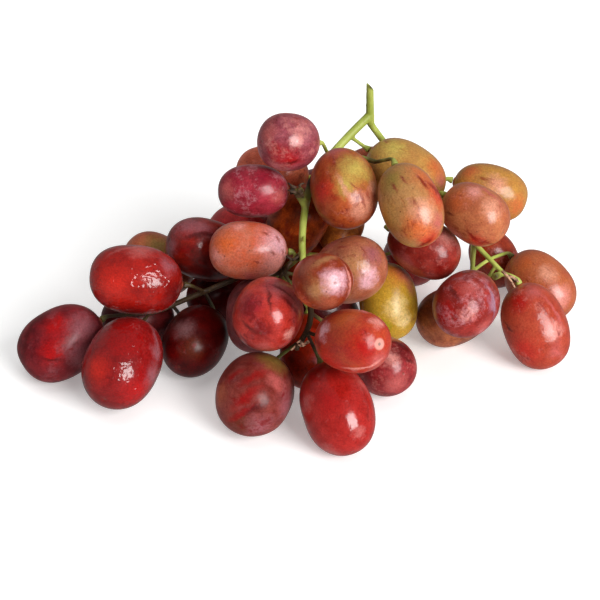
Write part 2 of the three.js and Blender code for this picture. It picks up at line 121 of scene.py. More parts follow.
SKINS = {
    "left_end": skin(
        "#731c21", "#541218", bloom=0.35, haze="mauve", specks=0.1, strokes=0.3, shine=0.12,
        patches_and_highlights=[
            ("ruby", 56, 324, 11), ("ruby", 54, 352, 11), ("mauve", 84, 328, 13), ("mauve", 80, 356, 10),
        ],
        smears_and_rims=[
            ("mauve", 70, 345, 84, 322, 4), ("plum", 46, 358, 60, 360, 3), ("plum", 26, 346, 36, 322, 5),
        ],
    ),
    "left_front": skin(
        "#841515", "#700a0b", bloom=0, haze="rose", specks=0.2, strokes=0.15, wet=0.8, shine=0.9,
        patches_and_highlights=[
            # the mauve patches at (157, 352) and (152, 376) are bloom with a painted rim sheen along the
            # right edge
            ("blood", 126, 338, 20, 0.25), ("ruby", 138, 388, 14), ("mauve", 157, 352, 7),
            ("scarlet", 96, 368, 11), ("mauve", 152, 376, 9),
        ],
        # the rose mark along the top edge is a painted rim reflection; the mauve mark down the right edge is
        # bloom with a painted rim sheen
        smears_and_rims=[("rose", 112, 319, 142, 321, 4), ("mauve", 152, 330, 157, 350, 5)],
    ),
    "left_top": skin(
        "#98160e", "#7f0d08", bloom=0, haze="rose", specks=0.35, strokes=0.2, wet=1, shine=0.9,
        patches_and_highlights=[
            # the rose patch at (140, 251) is a painted rim reflection along the top edge
            ("scarlet", 112, 286, 15), ("rose", 140, 251, 9), ("deep_ruby", 140, 313, 12),
            ("plum", 175, 292, 11), ("mauve", 168, 266, 8),
        ],
        # this rose mark along the top edge is a painted rim reflection
        smears_and_rims=[("rose", 118, 252, 158, 250, 4)],
    ),
    "left_back": skin(
        "#ab593b", "#8f412d", bloom=0.25, haze="rose", specks=0.1, strokes=0.2,
        patches_and_highlights=[("olive", 158, 246, 12)],
    ),
    "left_under": skin("#5a1819", "#431113", bloom=0.2, haze="grey_mauve", shine=0.1),
    "left_inner": skin(
        "#84180f", "#581109", bloom=0.14, haze="rose", specks=0.2, strokes=0.7,
        patches_and_highlights=[
            ("mauve", 186, 226, 11), ("plum", 206, 272, 18), ("mauve", 202, 228, 9), ("mauve", 171, 246, 7),
        ],
        smears_and_rims=[("plum", 188, 238, 214, 234, 4), ("deep_ruby", 180, 250, 200, 247, 4)],
    ),
    "left_low": skin(
        "#560504", "#400404", bloom=0.15, haze="grey_mauve", specks=0.1, strokes=0.3, shine=0.3,
        patches_and_highlights=[("grey_mauve", 184, 328, 9), ("rust_dark", 192, 348, 10)],
    ),
    "middle_blush": skin(
        "#be5637", "#b8654d", bloom=0.12, haze="pink", specks=0.9, strokes=0.1,
        patches_and_highlights=[
            ("pink", 217, 256, 7), ("rose", 250, 277, 8), ("lilac", 278, 244, 15), ("pink", 272, 266, 11),
            ("pink", 238, 226, 7), ("orange", 226, 244, 10),
        ],
        smears_and_rims=[
            ("fleck", 263, 233, 266, 234, 3), ("fleck", 276, 238, 277, 240, 3),
            ("fleck", 270, 252, 272, 254, 3), ("fleck", 281, 250, 282, 253, 3),
            ("fleck", 256, 262, 259, 263, 2),
        ],
    ),
    "middle_round": skin(
        "#b9362d", "#99261d", bloom=0.32, haze="mauve", specks=0.25, strokes=0.7, shine=0.8,
        patches_and_highlights=[
            ("mauve", 280, 287, 13), ("mauve", 297, 304, 8), ("cherry", 252, 306, 10),
            # the pink patch at (289, 333) is a painted second highlight
            ("rose", 262, 346, 9), ("pink", 289, 333, 6, 0.6), ("deep_ruby", 262, 332, 9),
        ],
        smears_and_rims=[
            ("plum", 274, 286, 290, 296, 4), ("plum", 284, 300, 296, 312, 4),
            ("plum", 268, 292, 271, 310, 3), ("plum", 246, 324, 254, 330, 4),
            # the rose mark down the left edge is a painted rim reflection
            ("rose", 236, 300, 242, 336, 3),
        ],
    ),
    "middle_behind": skin("#8e4345", "#6c2f31", bloom=0.6, haze="grey_mauve", shine=0.1),
    "middle_shade": skin("#5b0604", "#3e0404", bloom=0.1, haze="grey_mauve", shine=0.1),
    "front_left": skin(
        "#7e352e", "#67231d", bloom=0.28, haze="mauve", specks=0.1, strokes=0.5, shine=0.25,
        patches_and_highlights=[
            ("olive", 274, 360, 13), ("mauve", 287, 404, 12), ("mauve", 258, 427, 12),
            # the rose patch at (276, 381) is a painted highlight
            ("tan", 221, 394, 9), ("rose", 276, 381, 8), ("rust_dark", 240, 424, 10),
        ],
        smears_and_rims=[
            ("blood", 246, 382, 262, 374, 7), ("blood", 238, 404, 256, 390, 8),
            ("blood", 230, 380, 240, 372, 5), ("plum", 246, 412, 262, 404, 6),
            ("plum", 288, 376, 292, 372, 5), ("blood", 232, 418, 246, 410, 5),
        ],
    ),
    "front_right": skin(
        "#a4201b", "#90140f", bloom=0.1, haze="rose", specks=0.2, strokes=0.2, wet=0.06, shine=1,
        patches_and_highlights=[
            ("deep_ruby", 316, 372, 13), ("rose", 362, 384, 7), ("rose", 306, 404, 7),
            # the rose patch at (358, 432) is a painted second highlight
            ("rose", 330, 450, 8), ("rose", 358, 432, 6, 0.6), ("ruby", 330, 402, 10),
        ],
    ),
    "front_hidden": skin("#9a220a", "#701906", bloom=0.1, haze="mauve", shine=0.1),
    "front_scar": skin(
        "#a73c20", "#9e2a1d", bloom=0.08, haze="rose", specks=0.15, strokes=0.15, wet=0.2, shine=0.5,
        patches_and_highlights=[
            ("lilac", 324, 330, 8, 0.6), ("rust", 345, 318, 12), ("scarlet", 330, 362, 13),
            ("ruby", 362, 348, 11), ("rose", 378, 360, 8), ("pink", 376, 322, 6),
        ],
        # the pink mark along the lower edge is a painted rim reflection
        smears_and_rims=[("pink", 348, 368, 376, 362, 3)],
    ),
    "front_corner": skin(
        "#8f282b", "#73191d", bloom=0.25, haze="pink", specks=0.5, strokes=0.3,
        # the pink patch at (390, 357) is a painted highlight
        patches_and_highlights=[("pink", 390, 357, 7), ("plum", 402, 350, 9), ("rose", 396, 384, 10)],
        smears_and_rims=[("plum", 396, 344, 410, 354, 5), ("plum", 404, 358, 412, 362, 3)],
    ),
    "pair_left": skin(
        "#842f11", "#75230e", bloom=0.2, haze="pink", specks=0.5, strokes=0.2,
        patches_and_highlights=[
            # the lilac patch at (335, 282) is a painted highlight
            ("lilac", 335, 282, 12, 0.6), ("orange", 306, 304, 9), ("tan", 308, 266, 9),
            ("sand", 316, 290, 9), ("tan", 330, 304, 8),
        ],
        smears_and_rims=[("pink", 346, 270, 348, 292, 3), ("sand", 318, 264, 332, 258, 6)],
    ),
    "pair_right": skin(
        "#a46143", "#924e35", bloom=0.2, haze="pink", specks=0.6, strokes=0.3, wet=0.4,
        patches_and_highlights=[
            # the lilac patch at (368, 278) is a painted highlight
            ("lilac", 368, 278, 10, 0.7), ("sand", 354, 264, 10), ("rose", 330, 246, 9),
            ("mauve", 372, 254, 9),
        ],
        smears_and_rims=[
            ("fleck", 339, 248, 345, 247, 3), ("fleck", 337, 254, 339, 254, 2),
            ("fleck", 360, 249, 364, 253, 2), ("deep_ruby", 376, 296, 384, 286, 3),
            ("deep_ruby", 362, 300, 370, 298, 3),
        ],
    ),
    "pair_green": skin(
        "#bf9630", "#b18728", bloom=0.1, haze="straw", specks=0, strokes=0, shine=0.3,
        patches_and_highlights=[
            # the straw patch at (397, 308) is a painted highlight
            ("rust", 398, 273, 13), ("straw", 397, 308, 9, 0.9), ("straw", 404, 321, 7, 0.8),
            ("rose", 407, 276, 9), ("leaf", 386, 324, 5), ("tan", 411, 288, 6),
        ],
    ),
    "deep_middle": skin(
        "#b74c19", "#792b0e", bloom=0.1, haze="mauve", specks=0.2, strokes=0.4, shine=0.1,
        patches_and_highlights=[("rust_dark", 300, 214, 10)],
    ),
    "deep_right": skin("#bc6c27", "#7d4017", bloom=0.1, haze="mauve", specks=0.1, strokes=0.3, shine=0.1),
    "deep_low": skin("#a23104", "#762404", bloom=0.1, haze="mauve", shine=0.1),
    "top_round": skin(
        "#934852", "#792d35", bloom=0.42, haze="pink", specks=0.5, strokes=0.3,
        patches_and_highlights=[
            # the pink patch at (297, 141) is a painted highlight
            ("ruby", 290, 160, 10), ("mauve", 306, 132, 9), ("rose", 268, 134, 9), ("pink", 297, 141, 6),
            ("ruby", 276, 152, 7),
        ],
        # the rose mark along the top edge is a painted rim reflection
        smears_and_rims=[("plum", 288, 163, 296, 161, 4), ("rose", 270, 120, 300, 115, 4)],
    ),
    "top_left": skin(
        "#9b2b39", "#7d1e29", bloom=0.3, haze="lilac", specks=0.4, strokes=0.4,
        patches_and_highlights=[
            ("cherry", 236, 178, 9), ("cherry", 248, 200, 9), ("cherry", 262, 180, 7),
            ("rose", 279, 196, 7), ("rose", 227, 190, 8),
        ],
        smears_and_rims=[("rose", 232, 168, 262, 166, 4)],
    ),
    "top_behind": skin("#d1694c", "#ad4c35", bloom=0.3, haze="grey_mauve", specks=0.1, strokes=0.2),
    "top_blush": skin(
        "#a64d25", "#893116", bloom=0.08, haze="pink", specks=0.2, strokes=0.2,
        patches_and_highlights=[
            # the pale patch at (362, 206) is a painted highlight
            ("gold", 356, 168, 15), ("blush_pale", 362, 206, 12, 0.8), ("rose", 334, 152, 9),
            ("deep_ruby", 320, 216, 12), ("gold", 346, 186, 8), ("scarlet", 324, 190, 10),
            ("blush_pale", 372, 188, 6),
        ],
        smears_and_rims=[
            ("fleck", 360, 194, 364, 206, 3), ("fleck", 351, 183, 357, 188, 2),
            ("blush_pale", 340, 180, 352, 202, 4), ("rose", 325, 150, 356, 149, 3),
        ],
    ),
    "top_green": skin(
        "#a87949", "#a06d3f", bloom=0.1, haze="pink", specks=0.6, strokes=0.3,
        patches_and_highlights=[
            ("olive", 392, 180, 11), ("rust", 424, 176, 12), ("scarlet", 438, 196, 12),
            # the pale patch at (424, 210) is a painted highlight
            ("orange", 416, 226, 12), ("blush_pale", 424, 210, 11, 0.8), ("scarlet", 430, 238, 10),
            ("honey", 386, 216, 12), ("rose", 438, 220, 8),
        ],
        smears_and_rims=[
            ("deep_ruby", 424, 170, 436, 182, 6), ("deep_ruby", 430, 184, 440, 196, 6),
            ("deep_ruby", 418, 178, 426, 186, 4), ("fleck", 393, 184, 396, 190, 3),
            ("fleck", 402, 178, 406, 182, 3), ("deep_ruby", 420, 246, 430, 238, 5),
        ],
    ),
    "top_amber": skin(
        "#ae8240", "#a5743c", bloom=0.1, haze="pink", specks=0.1, strokes=0.15,
        patches_and_highlights=[("rust", 436, 168, 11), ("gold", 394, 148, 11), ("rose", 440, 182, 6)],
    ),
    "right_crimson": skin(
        "#983025", "#781c16", bloom=0.3, haze="pink", specks=0.2, strokes=0.3,
        patches_and_highlights=[("pink", 446, 238, 8), ("deep_ruby", 440, 266, 8), ("rose", 404, 262, 8)],
    ),
    "right_blush": skin(
        "#ad6640", "#9f5536", bloom=0.12, haze="pink", specks=0.4, strokes=0.3,
        patches_and_highlights=[
            # the pale patch at (492, 208) is a painted highlight
            ("blush_pale", 492, 208, 10, 0.8), ("scarlet", 476, 240, 7), ("rust", 456, 200, 10),
            ("pink", 474, 192, 7),
        ],
        smears_and_rims=[
            ("deep_ruby", 470, 232, 478, 240, 4), ("deep_ruby", 482, 240, 492, 243, 3),
            ("plum", 447, 212, 452, 215, 2), ("rose", 470, 184, 498, 202, 3),
        ],
    ),
    "right_amber": skin(
        "#ae7b37", "#a26e36", bloom=0.06, haze="straw", specks=0.05, strokes=0.1,
        # the pale patch at (496, 184) is a painted highlight
        patches_and_highlights=[("blush_pale", 496, 184, 9, 0.8), ("rust", 470, 172, 9), ("rust", 516, 206, 9)],
    ),
    "right_behind": skin("#8e331b", "#732011", bloom=0.25, haze="pink", specks=0.1, strokes=0.2),
    "right_far": skin(
        "#a85a36", "#9f4c2e", bloom=0.12, haze="pink", specks=0.2, strokes=0.2,
        # the pale patch at (548, 274) is a painted highlight
        patches_and_highlights=[("blush_pale", 548, 274, 9, 0.8), ("pink", 560, 296, 10), ("rust", 524, 262, 9)],
    ),
    "right_end": skin(
        "#a5412b", "#973322", bloom=0.26, haze="pink", specks=0.3, strokes=0.3, wet=0.3,
        patches_and_highlights=[
            # the pink patch at (555, 330) is a painted highlight
            ("scarlet", 524, 350, 13), ("ruby", 520, 302, 9), ("pink", 555, 330, 8),
            ("rose", 534, 292, 8), ("rose", 556, 350, 7),
        ],
        smears_and_rims=[("plum", 506, 324, 512, 330, 3), ("rose", 546, 300, 562, 324, 4)],
    ),
    "right_round": skin(
        "#962c26", "#7a1d18", bloom=0.36, haze="lilac", specks=0.3, strokes=0.4,
        patches_and_highlights=[
            # the grey-lilac patch at (492, 304) is a painted rim reflection
            ("grey_lilac", 492, 304, 6), ("rose", 472, 288, 9), ("ruby", 444, 312, 10),
            # the pink patch at (468, 314) is a painted highlight
            ("pink", 468, 314, 6), ("rose", 484, 326, 8),
        ],
        # the grey-lilac mark down the right edge is a painted rim reflection
        smears_and_rims=[("grey_lilac", 488, 288, 494, 314, 4), ("plum", 452, 290, 458, 298, 3)],
    ),
    "right_low": skin("#a15c3a", "#7b3e28", bloom=0.2, haze="mauve", specks=0.1, strokes=0.3),
    "back_top": skin("#6c1c22", "#501016", bloom=0.25, haze="mauve", specks=0.2, strokes=0.2),
    "back_right": skin("#98211c", "#7c1210", bloom=0.2, haze="rose", specks=0.2, strokes=0.3),
    "back_inner": skin("#420f10", "#300a0b", bloom=0.2, haze="mauve"),
    "back_left": skin("#bd2b2b", "#961c1f", bloom=0.25, haze="mauve", specks=0.2, strokes=0.3),
    "back_high": skin("#a8502e", "#8c3a20", bloom=0.2, haze="pink", specks=0.3, strokes=0.3),
}

# How much finer than the solids the grapes are drawn
GRAPE_SIDES = 56
GRAPE_RINGS = 44
END_CROWDING = 0.12  # how much closer the rings stand towards a grape's two ends

# The shape of a grape's surface, sizes in mm
LUMP_HEIGHT = 0.22
LUMP_WIDTH = 9
FULLNESS = 2.25  # the power of a grape's oval outline: 2 is an ellipse, more is plumper
COLLAR_HEIGHT = 0.35  # the skin rises to meet the pedicel
COLLAR_RADIUS = 1.6
STEM_TAPER = 0.03  # how much thinner a grape is towards its stem than its middle, as a share
SCAR_DEPTH = 0.15  # the dent where the blossom was
SCAR_RADIUS = 0.6


def sight_line(pixel):
    """The direction in which the camera sees a pixel of the picture."""
    across, down = (value - PICTURE_SIDE / 2 for value in pixel)
    return (-TO_VIEWER * FOCAL_PIXELS + VIEW_RIGHT * across - VIEW_UP * down).normalized()


def read_grape(node, stalk_points):
    """A grape's middle, half sizes in mm and own axes. Its ends are where most facets of its solid meet."""
    meetings = {}
    for facet in node.data.polygons:
        for index in facet.vertices:
            key = tuple(round(value / MM, 2) for value in node.data.vertices[index].co)
            meetings[key] = meetings.get(key, 0) + 1
    ends = [Vector(key) for key in sorted(meetings, key=meetings.get)[-2:]]
    stem, blossom = sorted(ends, key=lambda end: stalk_points.find(end * MM)[2])
    middle = (stem + blossom) / 2
    axis = (blossom - stem).normalized()
    radii = [((Vector(key) - middle) - axis * (Vector(key) - middle).dot(axis)).length for key in meetings]
    turn = axis.to_track_quat("Z", "Y").to_matrix()
    half_length = (blossom - stem).length / 2
    return {"middle": middle, "turn": turn, "half_width": max(radii), "half_length": half_length}


def on_grape(grape, pixel):
    """The place on a grape's skin that a pixel shows, in its own axes in mm, or the nearest one beside it."""
    start = grape["turn"].transposed() @ (EYE / MM - grape["middle"])
    ray = grape["turn"].transposed() @ sight_line(pixel)
    squash = Vector((1 / grape["half_width"], 1 / grape["half_width"], 1 / grape["half_length"]))
    start_unit, ray_unit = start * squash, ray * squash
    a, b, c = ray_unit.dot(ray_unit), start_unit.dot(ray_unit), start_unit.dot(start_unit) - 1
    place = start + ray * ((-b - math.sqrt(max(0, b * b - a * c))) / a)
    out = place.xy.length / grape["half_width"]
    along = abs(place.z) / grape["half_length"]
    return place / (out ** FULLNESS + along ** FULLNESS) ** (1 / FULLNESS)


def grape_profile(share, grape):
    """How far out and along a ring lies, in mm, from the grape's stem end at 0 to its blossom end at 1."""
    angle = math.pi * (share - END_CROWDING * math.sin(2 * math.pi * share))
    sine, cosine = max(0, math.sin(angle)), math.cos(angle)
    out = grape["half_width"] * sine ** (2 / FULLNESS) * (1 - STEM_TAPER * cosine)
    along = -grape["half_length"] * math.copysign(abs(cosine) ** (2 / FULLNESS), cosine)
    if along < 0:
        along -= COLLAR_HEIGHT * max(0, 1 - (out / COLLAR_RADIUS) ** 4)
    else:
        along -= SCAR_DEPTH * math.exp(-((out / SCAR_RADIUS) ** 2))
    return out, along


def grape_mesh(name, grape):
    """A fine mesh of a grape, flat where it lies on the table, that keeps its own coordinates in mm."""
    own = [Vector((0, 0, grape_profile(0, grape)[1]))]
    for ring in range(1, GRAPE_RINGS):
        out, along = grape_profile(ring / GRAPE_RINGS, grape)
        for side in range(GRAPE_SIDES):
            angle = 2 * math.pi * side / GRAPE_SIDES
            own.append(Vector((out * math.cos(angle), out * math.sin(angle), along)))
    own.append(Vector((0, 0, grape_profile(1, grape)[1])))

    faces = []
    for side in range(GRAPE_SIDES):
        beside = (side + 1) % GRAPE_SIDES
        faces.append((0, 1 + beside, 1 + side))
        for ring in range(GRAPE_RINGS - 2):
            low, high = 1 + ring * GRAPE_SIDES, 1 + (ring + 1) * GRAPE_SIDES
            faces.append((low + side, low + beside, high + beside, high + side))
        last = 1 + (GRAPE_RINGS - 2) * GRAPE_SIDES
        faces.append((last + side, last + beside, len(own) - 1))

    places = []
    for point in own:
        place = grape["middle"] + grape["turn"] @ point
        lump = LUMP_HEIGHT * noise.noise(place / LUMP_WIDTH)
        place += grape["turn"] @ (point.normalized() * lump)
        places.append(Vector((place.x, place.y, max(0, place.z))) * MM)

    mesh = bpy.data.meshes.new(name)
    mesh.from_pydata(places, [], faces)
    mesh.shade_smooth()
    coordinates = mesh.attributes.new("grape_mm", "FLOAT_VECTOR", "POINT")
    coordinates.data.foreach_set("vector", [value for point in own for value in point])
    return mesh


def add_node(tree, kind, inputs, **settings):
    """A shader node with its settings, each input set to a value or linked to another node's output."""
    made = tree.nodes.new("ShaderNode" + kind)
    for setting, value in settings.items():
        setattr(made, setting, value)
    for socket, value in inputs.items():
        if isinstance(value, bpy.types.NodeSocket):
            tree.links.new(value, made.inputs[socket])
        else:
            made.inputs[socket].default_value = value
    return made


def new_material(name):
    """An empty material and its node tree."""
    material = bpy.data.materials.new(name)
    material.use_nodes = True
    material.node_tree.nodes.clear()
    return material, material.node_tree


# The sockets of a node that mixes two colours: the share of the second one, the two colours, and the result
MIX_SHARE, MIX_FIRST, MIX_SECOND = 0, 6, 7
MIX_RESULT = 2

# Grape skin: a thin waxy skin over clear flesh. Light goes in and glows back red. The skin is clouded,
# specked and marked with dark strokes. A dull bloom of wax lies on it in patches, rubbed off to a shine
# elsewhere. Some of its pale patches and marks are painted highlights and painted rim reflections.
# Sizes in mm.
PIXELS_PER_MM = 3
CLOUD_SIZE = 6
STROKE_WIDTH = 2.2
STROKE_SLIMNESS = 0.35  # a stroke's width as a share of its length
STROKE_FIELD = 7  # size of the areas that have strokes
EDGE_SIZE = 3.3  # size of the bays in the edge of a patch
PATCH_WANDER = 4  # how far the edge of a patch wanders, and below it that of a smear
SMEAR_WANDER = 2
SMEAR_DEPTH = 3  # how far off the straight line between its ends a smear still shows
BLOOM_SIZE = 7
SPECK_SPACING = 1.8
GRAIN_SIZE = 0.6  # drawn coarser than the real pores, which are too fine to show
DROP_SIZE = 3
PATTERN_SPREAD = 10  # how many times farther apart than the grapes their patterns are taken from the noise

# How much of the colour under it each mark hides where it is strongest
PATCH_COVER = 0.85
BLOOM_COVER = 0.6
STROKE_COVER = 0.75
SMEAR_COVER = 0.8
SPECK_COVER = 0.7

# The rings at a grape's two ends: the hue, the radius and how strong it is
STEM_RING = [("tan", 2.6, 0.8)]
BLOSSOM_DOT = [("scar_brown", 0.5, 0.4)]
BLOSSOM_DISC = [("shell", 1.9, 0.8), ("scar_grey", 0.55, 0.9)]
SHOWN_BLOSSOM_ENDS = ["front_scar"]


def cloud_skin(tree, here, recipe):
    """The skin's main colour in soft clouds with a second one, and the pattern of the clouds."""
    clouds = add_node(tree, "TexNoise", {
        "Vector": here, "Scale": 1 / CLOUD_SIZE, "Detail": 9, "Roughness": 0.7,
    }).outputs["Fac"]
    clouded = add_node(tree, "MapRange", {
        "Value": clouds, "From Min": 0.41, "From Max": 0.59,
    }).outputs[0]
    colour = add_node(tree, "Mix", {
        MIX_SHARE: clouded, MIX_FIRST: linear(recipe["base"]), MIX_SECOND: linear(recipe["mottle"]),
    }, data_type="RGBA").outputs[MIX_RESULT]
    return colour, clouds


def edge_noise(tree, here):
    """Noise to both sides of 0, for ragged edges."""
    ragged = add_node(tree, "TexNoise", {
        "Vector": here, "Scale": 1 / EDGE_SIZE, "Detail": 6, "Roughness": 0.7,
    }).outputs["Color"]
    return add_node(tree, "VectorMath", {0: ragged, 1: (0.5, 0.5, 0.5)}, operation="SUBTRACT").outputs[0]


def shaken(tree, place, shake, wander):
    """The place on the skin, moved by noise as far as the edge of a mark is to wander."""
    moved = add_node(tree, "VectorMath", {0: shake, "Scale": 2 * wander}, operation="SCALE").outputs[0]
    return add_node(tree, "VectorMath", {0: place, 1: moved}, operation="ADD").outputs[0]


def add_patches_and_highlights(tree, colour, place, recipe, grape):
    """Round patches of other hues, some of them painted highlights and painted rim reflections."""
    for hue, x, y, radius, *edge in recipe["patches_and_highlights"]:
        softness = edge[0] if edge else 1
        middle = on_grape(grape, (x, y))
        away = add_node(tree, "VectorMath", {0: place, 1: middle}, operation="DISTANCE").outputs["Value"]
        cover = add_node(tree, "MapRange", {
            "Value": away,
            "From Min": (1 - softness) * radius / PIXELS_PER_MM,
            "From Max": (1 + softness) * radius / PIXELS_PER_MM,
            "To Min": PATCH_COVER,
            "To Max": 0,
        }, interpolation_type="SMOOTHSTEP").outputs[0]
        colour = add_node(tree, "Mix", {
            MIX_SHARE: cover, MIX_FIRST: colour, MIX_SECOND: linear(HUES[hue]),
        }, data_type="RGBA").outputs[MIX_RESULT]
    return colour


def add_bloom(tree, colour, here, recipe):
    """The bloom in patches, and how thick it lies."""
    patches = add_node(tree, "TexNoise", {
        "Vector": here, "Scale": 1 / BLOOM_SIZE, "Detail": 8, "Roughness": 0.74,
    }).outputs["Fac"]
    bloom = add_node(tree, "MapRange", {
        "Value": patches,
        "From Min": 0.62 - 0.3 * recipe["bloom"],
        "From Max": 0.8 - 0.3 * recipe["bloom"],
        "To Min": 0,
        "To Max": BLOOM_COVER,
    }).outputs[0]
    colour = add_node(tree, "Mix", {
        MIX_SHARE: bloom, MIX_FIRST: colour, MIX_SECOND: linear(HUES[recipe["haze"]]),
    }, data_type="RGBA").outputs[MIX_RESULT]
    return colour, bloom


def add_strokes(tree, colour, here, recipe):
    """Dark strokes along the grape, here and there."""
    slanted = add_node(tree, "Mapping", {
        "Vector": here, "Rotation": (0.3, 0.25, 0), "Scale": (1, 1, STROKE_SLIMNESS),
    }).outputs[0]
    strokes = add_node(tree, "TexNoise", {
        "Vector": slanted, "Scale": 1 / STROKE_WIDTH, "Detail": 4, "Roughness": 0.6, "Distortion": 0.8,
    }).outputs["Fac"]
    fields = add_node(tree, "TexNoise", {
        "Vector": here, "Scale": 1 / STROKE_FIELD, "Detail": 2,
    }).outputs["Fac"]
    both = add_node(tree, "Math", {0: strokes, 1: fields}, operation="ADD").outputs[0]
    marks = add_node(tree, "MapRange", {
        "Value": both,
        "From Min": 1.22 - 0.26 * recipe["strokes"],
        "From Max": 1.42 - 0.26 * recipe["strokes"],
        "To Min": 0,
        "To Max": STROKE_COVER,
    }).outputs[0]
    return add_node(tree, "Mix", {
        MIX_SHARE: marks, MIX_FIRST: colour, MIX_SECOND: linear(HUES["deep_ruby"]),
    }, data_type="RGBA").outputs[MIX_RESULT]


def add_smears_and_rims(tree, colour, place, recipe, grape):
    """Long marks, each an oval between two places on the skin; some pale ones along the edges are painted rim
    reflections.
    """
    for hue, x, y, end_x, end_y, width in recipe["smears_and_rims"]:
        start, end = on_grape(grape, (x, y)), on_grape(grape, (end_x, end_y))
        half_width = width / 2 / PIXELS_PER_MM
        half_length = (end - start).length / 2 + half_width
        along = (end - start).normalized()
        beside = (start + end).cross(along).normalized()
        turn = Matrix((along, beside, along.cross(beside))).transposed()
        oval = add_node(tree, "Mapping", {
            "Vector": place,
            "Location": (start + end) / 2,
            "Rotation": turn.to_euler(),
            "Scale": (half_length, half_width, SMEAR_DEPTH),
        }, vector_type="TEXTURE").outputs[0]
        inside = add_node(tree, "VectorMath", {0: oval}, operation="LENGTH").outputs["Value"]
        cover = add_node(tree, "MapRange", {
            "Value": inside, "From Min": 0.2, "From Max": 2, "To Min": SMEAR_COVER, "To Max": 0,
        }, interpolation_type="SMOOTHSTEP").outputs[0]
        colour = add_node(tree, "Mix", {
            MIX_SHARE: cover, MIX_FIRST: colour, MIX_SECOND: linear(HUES[hue]),
        }, data_type="RGBA").outputs[MIX_RESULT]
    return colour


def add_specks(tree, colour, here, clouds, recipe):
    """Dark specks of all sizes, clustered where the clouds are."""
    cells = add_node(tree, "TexVoronoi", {"Vector": here, "Scale": 1 / SPECK_SPACING})
    crowding = add_node(tree, "MapRange", {
        "Value": clouds, "From Min": 0.4, "From Max": 0.62, "To Min": 0.1, "To Max": 0.42 * recipe["specks"],
    }).outputs[0]
    speck_size = add_node(tree, "Math", {
        0: cells.outputs["Color"], 1: crowding,
    }, operation="MULTIPLY").outputs[0]
    depth = add_node(tree, "Math", {
        0: speck_size, 1: cells.outputs["Distance"],
    }, operation="SUBTRACT").outputs[0]
    specks = add_node(tree, "MapRange", {
        "Value": depth, "From Min": -0.05, "From Max": 0.08, "To Min": 0, "To Max": SPECK_COVER,
    }).outputs[0]
    return add_node(tree, "Mix", {
        MIX_SHARE: specks, MIX_FIRST: colour, MIX_SECOND: linear(HUES["plum"]),
    }, data_type="RGBA").outputs[MIX_RESULT]


def add_grain(tree, colour, here):
    """Fine grain, lighter and darker, and its pattern."""
    grain = add_node(tree, "TexNoise", {
        "Vector": here, "Scale": 1 / GRAIN_SIZE, "Detail": 3, "Roughness": 0.6,
    }).outputs["Fac"]
    grained = add_node(tree, "MapRange", {
        "Value": grain, "From Min": 0.3, "From Max": 0.7, "To Min": 0.76, "To Max": 1.22,
    }).outputs[0]
    colour = add_node(tree, "Mix", {
        MIX_SHARE: 1, MIX_FIRST: colour, MIX_SECOND: grained,
    }, data_type="RGBA", blend_type="MULTIPLY").outputs[MIX_RESULT]
    return colour, grain


def add_ends(tree, colour, place, name, grape):
    """A paler ring round the pedicel, and a faint dot or a pale disc where the blossom was."""
    blossom = BLOSSOM_DISC if name in SHOWN_BLOSSOM_ENDS else BLOSSOM_DOT
    for end, rings in ((-1, STEM_RING), (1, blossom)):
        tip = (0, 0, end * grape["half_length"])
        away = add_node(tree, "VectorMath", {0: place, 1: tip}, operation="DISTANCE").outputs["Value"]
        for hue, radius, strength in rings:
            spot = add_node(tree, "MapRange", {
                "Value": away,
                "From Min": 0.8 * radius,
                "From Max": 1.1 * radius,
                "To Min": strength,
                "To Max": 0,
            }).outputs[0]
            colour = add_node(tree, "Mix", {
                MIX_SHARE: spot, MIX_FIRST: colour, MIX_SECOND: linear(HUES[hue]),
            }, data_type="RGBA").outputs[MIX_RESULT]
    return colour


def skin_surface(tree, colour, here, bloom, grain, recipe):
    """The skin's shader. Rubbed skin shines, bloom is dull, and water breaks the shine up."""
    roughness = add_node(tree, "MapRange", {
        "Value": bloom, "From Min": 0, "From Max": BLOOM_COVER, "To Min": 0.32, "To Max": 0.55,
    }).outputs[0]
    shining = add_node(tree, "MapRange", {
        "Value": bloom,
        "From Min": 0,
        "From Max": 0.5,
        "To Min": recipe["shine"],
        "To Max": 0.3 * recipe["shine"],
    }).outputs[0]
    pores = add_node(tree, "Bump", {"Height": grain, "Strength": 0.15, "Distance": 0.2 * MM}).outputs[0]
    drops = add_node(tree, "TexNoise", {
        "Vector": here, "Scale": 1 / DROP_SIZE, "Detail": 1.5, "Roughness": 0.6,
    }).outputs["Fac"]
    pools = add_node(tree, "MapRange", {
        "Value": drops, "From Min": 0.42, "From Max": 0.58,
    }, interpolation_type="SMOOTHSTEP").outputs[0]
    film = add_node(tree, "Bump", {
        "Height": pools, "Strength": 0.1 + 0.5 * recipe["wet"], "Distance": 0.3 * MM, "Normal": pores,
    }).outputs[0]
    return add_node(tree, "BsdfPrincipled", {
        "Base Color": colour,
        "Roughness": roughness,
        "IOR": 1.42,
        "Specular IOR Level": 0.12,
        "Subsurface Weight": 0.2,
        "Subsurface Radius": (2.5 * MM, 0.7 * MM, 0.4 * MM),
        "Subsurface Scale": 1,
        "Coat Weight": shining,
        "Coat Roughness": 0.31 - 0.2 * recipe["shine"] - 0.07 * recipe["wet"],
        "Coat Normal": film,
        "Sheen Weight": 0.12 + 0.15 * recipe["bloom"],
        "Sheen Roughness": 0.25,
        "Sheen Tint": linear(HUES["pink"]),
        "Normal": pores,
    })


